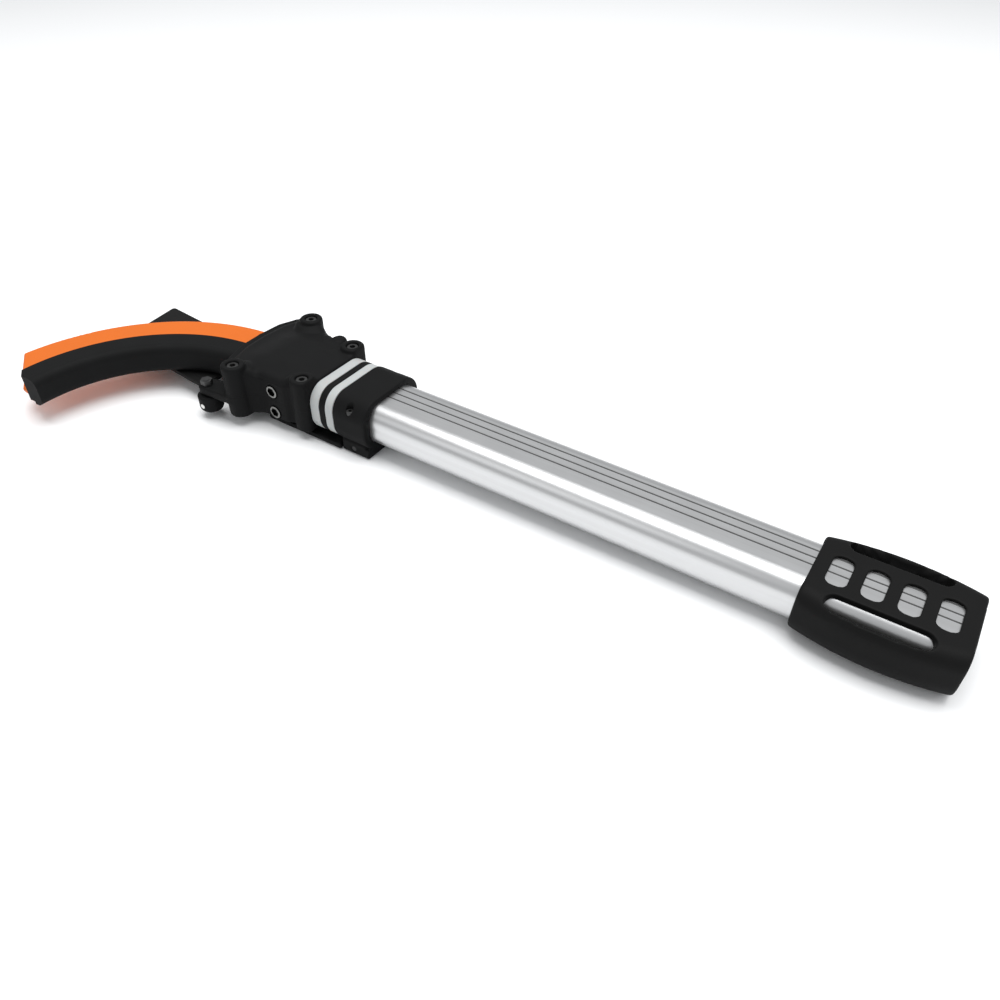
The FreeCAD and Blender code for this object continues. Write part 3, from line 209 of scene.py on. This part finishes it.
def anodisedAluminium():  # drawn lines along the length, painted shade in the grooves
    made = Finish("anodisedAluminium", Metallic=1.0)
    _, across, up = made.axes()
    stripe = (across - (poleAxis.y + grooves["first"])) * (1 / grooves["pitch"])  # whole in a groove
    offLine = stripe.maths("ABSOLUTE", stripe - stripe.maths("ROUND", stripe))
    fromFirst = stripe.maths("ABSOLUTE", stripe)
    # mask of the groove floors, where shade is painted
    shadedGroove = (1 - made.band(offLine, *grooves["edge"])) * (1 - made.band(fromFirst, *grooves["beyondLast"]))
    depth = up.maths("ABSOLUTE", up - poleAxis.z)
    shadedGroove = shadedGroove * (1 - made.band(depth, *grooves["face"])) * made.band(depth, *grooves["floor"])
    lines = made.noise(1.0, 3.0, 0.6, made.along((6.0, 2600.0, 2600.0)))
    broad = made.noise(1.0, 2.0, 0.5, made.along((3.0, 300.0, 300.0)))
    cloud = made.noise(45.0, 3.0)
    metal = made.mixed(broad, tone(0.56), tone(0.66, (0.99, 1.0, 1.01)))
    # painted shade: the groove floors get a dark grey base colour
    made.drive("Base Color", made.mixed(shadedGroove, metal, tone(0.10)))
    made.drive("Roughness", 0.24 + 0.12 * lines + 0.06 * cloud + 0.3 * shadedGroove)
    made.bumped(lines + 0.5 * broad, 0.00002, 0.35)
    return made.material


def mouldedNylon(parting=None):  # spark eroded grain of the mould, and a fine line where two halves meet
    made = Finish("mouldedNylon", Specular_IOR_Level=0.09)
    grain = made.noise(2200.0, 3.0, 0.6)
    cloud = made.noise(70.0, 3.0)
    made.drive("Base Color", made.mixed(cloud, tone(0.004), tone(0.007, (0.98, 1.02, 1.06))))
    made.drive("Roughness", 0.50 + 0.16 * grain + 0.08 * cloud)
    height = grain
    if parting:
        _, _, up = made.axes()
        off = up.maths("ABSOLUTE", up - parting)
        height = grain + 3.0 * made.band(off, 0.08 * mm, 0.30 * mm)
    made.bumped(height, 0.00012, 0.5)
    return made.material


def gripRubber():
    made = Finish("gripRubber", Specular_IOR_Level=0.12)
    grain = made.cells(1900.0)
    cloud = made.noise(55.0, 3.0)
    made.drive("Base Color", made.mixed(cloud, tone(0.003), tone(0.006)))
    made.drive("Roughness", 0.52 + 0.12 * cloud + 0.10 * grain)
    made.bumped(grain, 0.00008, 0.35)
    return made.material


def greyPlastic():
    made = Finish("greyPlastic", Subsurface_Weight=0.05)
    cloud = made.noise(120.0, 2.0)
    grain = made.noise(3000.0, 2.0)
    made.drive("Base Color", made.mixed(cloud, tone(0.40, (0.98, 1.0, 0.99)), tone(0.46, (0.98, 1.0, 0.99))))
    made.drive("Roughness", 0.42 + 0.10 * grain)
    made.bumped(grain, 0.00003, 0.3)
    return made.material


def orangePlastic():
    made = Finish("orangePlastic", Specular_IOR_Level=0.3)
    cloud = made.noise(35.0, 3.0)
    grain = made.noise(2600.0, 2.0)
    made.drive("Base Color", made.mixed(cloud, (0.60, 0.118, 0.002, 1.0), (0.66, 0.136, 0.004, 1.0)))
    made.drive("Roughness", 0.40 + 0.10 * grain + 0.05 * cloud)
    made.bumped(grain, 0.00004, 0.4)
    return made.material


def guardRubber():
    made = Finish("guardRubber", Specular_IOR_Level=0.10)
    grain = made.noise(1500.0, 3.0, 0.6)
    cloud = made.noise(50.0, 2.0)
    made.drive("Base Color", made.mixed(cloud, tone(0.004), tone(0.007, (0.96, 1.02, 1.06))))
    made.drive("Roughness", 0.55 + 0.15 * grain)
    made.bumped(grain, 0.00010, 0.4)
    return made.material


def blackOxideSteel():
    made = Finish("blackOxideSteel", Metallic=0.85)
    cloud = made.noise(500.0, 3.0)
    made.drive("Base Color", made.mixed(cloud, tone(0.035), tone(0.075)))
    made.drive("Roughness", 0.34 + 0.18 * cloud)
    made.bumped(cloud, 0.00003, 0.3)
    return made.material


def zincSteel(shadedWithin=None, level=0.65):  # painted shade: dark nearer to the pole than the given depth, where screws sit sunk in sockets that face sideways
    made = Finish("zincSteel", Metallic=1.0)
    cloud = made.noise(420.0, 3.0)
    dull, shiny = tone(0.9 * level, (1.0, 0.99, 0.95)), tone(1.1 * level, (1.0, 1.0, 0.97))
    bright = made.mixed(cloud, dull, shiny)
    if shadedWithin:
        _, across, _ = made.axes()
        reach = across.maths("ABSOLUTE", across - poleAxis.y)
        # painted shade: near black where the screw sits inside its socket
        bright = made.mixed(made.band(reach, shadedWithin - 0.3 * mm, shadedWithin - 0.1 * mm), tone(0.02), bright)
    made.drive("Base Color", bright)
    made.drive("Roughness", 0.20 + 0.16 * cloud)
    made.bumped(cloud, 0.00002, 0.3)
    return made.material


def bladeSteel():
    made = Finish("bladeSteel", Metallic=1.0)
    lines = made.noise(1.0, 3.0, 0.6, made.along((150.0, 3500.0, 3500.0), 0.5))
    made.drive("Base Color", made.mixed(lines, tone(0.55), tone(0.70, (0.99, 1.0, 1.02))))
    made.drive("Roughness", 0.20 + 0.20 * lines)
    made.bumped(lines, 0.00002, 0.3)
    return made.material


def springSteel():
    made = Finish("springSteel", Metallic=1.0)
    cloud = made.noise(900.0, 2.0)
    made.drive("Base Color", made.mixed(cloud, tone(0.38), tone(0.52)))
    made.drive("Roughness", 0.25 + 0.15 * cloud)
    return made.material


def whiteAcetal():
    made = Finish("whiteAcetal", Subsurface_Weight=0.1)
    cloud = made.noise(150.0, 2.0)
    made.drive("Base Color", made.mixed(cloud, tone(0.72), tone(0.80, (1.0, 1.0, 0.97))))
    made.drive("Roughness", 0.38 + 0.08 * cloud)
    return made.material


def blackWebbing():
    made = Finish("blackWebbing", Specular_IOR_Level=0.12)
    grain = made.noise(1600.0, 3.0)
    turned = made.along((1.0, 1.0, 1.0), 0.11)
    warp, weft, _ = (axis.maths("SINE", axis * 4200.0) for axis in made.axes(turned))
    made.drive("Base Color", made.mixed(grain, tone(0.005), tone(0.010)))
    made.drive("Roughness", 0.6 + 0.15 * grain)
    made.bumped(warp * weft + grain, 0.00015, 0.5)
    return made.material


finishOf = {
    "anodised_aluminium": anodisedAluminium(), "black_nylon": mouldedNylon(), "black_rubber": gripRubber(),
    "grey_plastic": greyPlastic(), "orange_plastic": orangePlastic(), "blackened_steel": blackOxideSteel(),
    "zinc_steel": zincSteel(), "blade_steel": bladeSteel(), "spring_steel": springSteel(),
    "white_acetal": whiteAcetal(), "black_webbing": blackWebbing(),
}
slotOf = {part["node"]: part["material_slot"] for part in frame["record"]["subparts"]}
# side screws: painted shade inside their sockets, and a darker zinc overall
sideScrew = {"shadedWithin": 35.6 * mm, "level": 0.22}


def dress(node, material):
    slots = cad[node].data.materials
    if not slots:
        slots.append(None)
    for index in range(len(slots)):
        slots[index] = material


for node, slot in slotOf.items():
    dress(node, finishOf[slot])
dress("scabbard_guard", guardRubber())
dress("side_screws", zincSteel(**sideScrew))
print("finishes on", len(cad), "nodes")


weld = 0.01 * mm
headSkin = {  # lengths from the collar's rear face and the pole's axis
    "nodes": ("head_upper_shell", "head_lower_shell"), "body": "head", "voxel": 0.88 * mm, "passes": 6,
    "crown": (13.3 * mm, 19.0 * mm), "front": (100 * mm, 138 * mm), "side": (12 * mm, 36 * mm),
    "frontDrop": 4.6 * mm, "frontPull": 4.0 * mm, "sideDrop": 2.6 * mm, "bossClear": (10.5 * mm, 17.0 * mm),
    "bosses": [(-112.0, 41.3), (-112.0, -41.3), (-57.6, 27.4), (-57.6, -27.4), (-76.0, 33.0)],
}
gripSkin = {  # from "wide" on in millimetres, from the same two
    "nodes": ("grip_sleeve",), "body": "outer_pole", "voxel": 0.75 * mm, "passes": 6,
    "wide": 35.5, "bow": 6.0, "middle": 344.55, "reach": 44.45, "slotFront": (313.0, 317.0),
    "slotRear": (367.0, 371.0), "rim": 3.6, "ease": 0.6, "round": 9.5, "floor": 8.0, "margin": 1.0,
    "sink": 5.5, "sinkFrom": 1.0, "bore": 25.2,
}
collarSkin = {
    "nodes": ("collar_upper", "collar_lower"), "body": "outer_pole", "voxel": 0.6 * mm, "passes": 3,
}
leverSkin = {"nodes": ("lock_lever",), "body": "lever", "voxel": 0.6 * mm, "passes": 3}


def ease(value, low, high):
    share = min(1.0, max(0.0, (value - low) / (high - low)))
    return share * share * (3 - 2 * share)


def mouldedCopy(name, skin, reshape=None):
    mesh = bpy.data.meshes.new(name)
    work = bmesh.new()
    for node in skin["nodes"]:
        work.from_mesh(cad[node].data)
    bmesh.ops.remove_doubles(work, verts=work.verts, dist=weld)
    work.to_mesh(mesh)
    work.free()
    piece = bpy.data.objects.new(name, mesh)
    bpy.context.scene.collection.objects.link(piece)
    shrink = piece.modifiers.new("skin", "REMESH")
    shrink.mode, shrink.voxel_size, shrink.adaptivity = "VOXEL", skin["voxel"], 0.0
    baked = bpy.data.meshes.new_from_object(piece.evaluated_get(bpy.context.evaluated_depsgraph_get()))
    piece.modifiers.clear()
    work = bmesh.new()
    work.from_mesh(baked)
    for _ in range(skin["passes"]):
        bmesh.ops.smooth_vert(
            work, verts=work.verts, factor=0.5, use_axis_x=True, use_axis_y=True, use_axis_z=True)
    if reshape:
        for vert in work.verts:
            reshape(vert)
    for face in work.faces:
        face.smooth = True
    work.to_mesh(baked)
    work.free()
    piece.data = baked
    baked.materials.clear()
    baked.materials.append(cad[skin["nodes"][0]].data.materials[0])
    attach(piece, skin["body"])
    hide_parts(*skin["nodes"])
    print(name, len(baked.polygons), "faces")
    return piece


def crownHead(vert):  # the top falls away to the mouth and to both sides, but not at the bosses
    place = vert.co - poleAxis
    high = ease(place.z, *headSkin["crown"])
    if high <= 0:
        return
    near = min((place.xy - Vector(boss) * mm).length for boss in headSkin["bosses"])
    clear = high * ease(near, *headSkin["bossClear"])
    front = ease(-place.x, *headSkin["front"])
    side = ease(abs(place.y), *headSkin["side"])
    vert.co.z -= clear * (headSkin["frontDrop"] * front + headSkin["sideDrop"] * side * (1 - front))
    vert.co.x += clear * front * headSkin["frontPull"]


def rimGrip(vert):  # a raised rim outside each side slot, and the slot's floor lower beside the pole
    place = (vert.co - poleAxis) / mm
    across = abs(place.y)
    wide = gripSkin["wide"] - gripSkin["bow"] * ((place.x - gripSkin["middle"]) / gripSkin["reach"]) ** 2
    inner, floor, fillet = wide - gripSkin["rim"], gripSkin["floor"], gripSkin["round"]
    inSlot = ease(place.x, *gripSkin["slotFront"]) * (1 - ease(place.x, *gripSkin["slotRear"]))
    lift = inSlot * ease(across, inner - gripSkin["ease"], inner + gripSkin["ease"])
    if place.z > floor - gripSkin["margin"] and lift > 0:
        off = min(fillet, max(0.0, across - wide + fillet))
        vert.co.z += max(0.0, floor + math.sqrt(fillet ** 2 - off ** 2) - place.z) * lift * mm
    elif gripSkin["bore"] < across < inner and place.z < floor + gripSkin["margin"]:
        vert.co.z -= gripSkin["sink"] * inSlot * ease(place.z, gripSkin["sinkFrom"], floor) * mm


head = mouldedCopy("headSkin", headSkin, crownHead)
head.data.materials[0] = mouldedNylon(poleAxis.z)
mouldedCopy("gripSkin", gripSkin, rimGrip)
mouldedCopy("collarSkin", collarSkin)
mouldedCopy("leverSkin", leverSkin)
